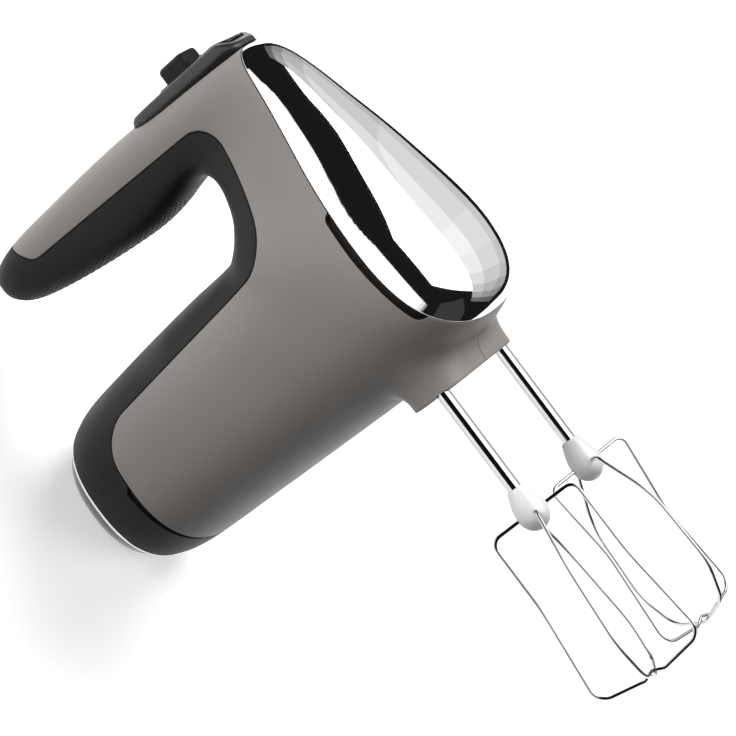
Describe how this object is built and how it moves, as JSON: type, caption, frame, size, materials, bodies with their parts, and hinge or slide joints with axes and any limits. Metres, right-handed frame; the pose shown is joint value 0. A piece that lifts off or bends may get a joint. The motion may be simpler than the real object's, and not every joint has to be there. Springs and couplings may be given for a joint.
{
  "type": "hand mixer",
  "caption": "Hand mixer with a cantilevered grip, bright nose cap, thumb speed slider, ejector button and a pair of counter-turning wire beaters.",
  "frame": {"origin": "middle of the flat rest face of the heel", "axes": "+Z from the heel to the nose, +X from the handle to the beater tips, -Y to the right-hand side as held"},
  "size_m": [0.3001, 0.0918, 0.2238],
  "materials": {
    "painted_taupe": "satin",
    "chrome": "polished",
    "soft_black": "soft touch",
    "gloss_black": "satin gloss",
    "bright_trim": "polished",
    "vent_black": "matte",
    "hub_white": "gloss",
    "stainless": "polished",
    "steel": "machined",
    "bearing_bronze": "sintered",
    "gear_nylon": "moulded",
    "frame_nylon": "moulded",
    "lamination": "stacked",
    "copper": "enamelled winding",
    "carbon": "graphite",
    "board_green": "solder mask",
    "component": "moulded",
    "switch_grey": "moulded"
  },
  "bodies": {
    "housing": {"board_components": "component", "brush_holders": "bearing_bronze", "brush_springs": "steel", "carbon_brushes": "carbon", "circuit_board": "board_green", "control_fascia": "gloss_black", "cord_gland": "gloss_black", "ejector_spring": "steel", "field_coils": "copper", "front_bearing": "bearing_bronze", "gear_carrier": "frame_nylon", "grip_liner": "soft_black", "heel_cap": "gloss_black", "heel_trim": "bright_trim", "housing_left": "painted_taupe", "housing_right": "painted_taupe", "housing_screws": "steel", "motor_screws": "steel", "nose_cap": "chrome", "rear_bearing": "bearing_bronze", "rear_bracket": "frame_nylon", "rod_guide": "frame_nylon", "speed_switch": "switch_grey", "spindle_bushes": "bearing_bronze", "stator_core": "lamination", "vent_insert_left": "vent_black", "vent_insert_right": "vent_black"},
    "drive_right": {"spindle_right": "steel", "worm_wheel_right": "gear_nylon"},
    "drive_left": {"spindle_left": "steel", "worm_wheel_left": "gear_nylon"},
    "armature": {"armature_shaft": "steel", "armature_core": "lamination", "armature_winding": "copper", "commutator": "copper", "cooling_fan": "frame_nylon", "worm": "steel"},
    "beater_right": {"beater_shaft_right": "stainless", "beater_hub_right": "hub_white", "beater_wire_wide_right": "stainless", "beater_wire_slim_right": "stainless"},
    "beater_left": {"beater_shaft_left": "stainless", "beater_hub_left": "hub_white", "beater_wire_wide_left": "stainless", "beater_wire_slim_left": "stainless"},
    "slider": {"speed_slider": "soft_black"},
    "ejector": {"eject_button": "soft_black", "ejector_rod": "gear_nylon", "ejector_plate": "gear_nylon"}
  },
  "joints": [
    {"name": "spindle_right_turn", "type": "hinge", "parent": "housing", "child": "drive_right", "pos_m": [0.01875, -0.0235, 0.186], "axis": [1, 0, 0], "continuous": true},
    {"name": "spindle_left_turn", "type": "hinge", "parent": "housing", "child": "drive_left", "pos_m": [0.01875, 0.0235, 0.186], "axis": [1, 0, 0], "continuous": true},
    {"name": "armature_turn", "type": "hinge", "parent": "housing", "child": "armature", "pos_m": [-0.00325, 0, 0.186], "axis": [0, 0, 1], "continuous": true},
    {"name": "beater_right_pull", "type": "slide", "parent": "drive_right", "child": "beater_right", "axis": [1, 0, 0], "range_m": [0, 0.035]},
    {"name": "beater_left_pull", "type": "slide", "parent": "drive_left", "child": "beater_left", "axis": [1, 0, 0], "range_m": [0, 0.035]},
    {"name": "speed_slide", "type": "slide", "parent": "housing", "child": "slider", "axis": [0, 0, 1], "range_m": [-0.016, 0]},
    {"name": "eject_press", "type": "slide", "parent": "housing", "child": "ejector", "axis": [1, 0, 0], "range_m": [0, 0.005], "stiffness_N_per_m": 600, "springref_m": -0.004, "deforming": ["ejector_spring"]}
  ],
  "couplings": [
    {"joint": "spindle_left_turn", "follows": "spindle_right_turn", "ratio": -1},
    {"joint": "armature_turn", "follows": "spindle_right_turn", "ratio": -13}
  ]
}
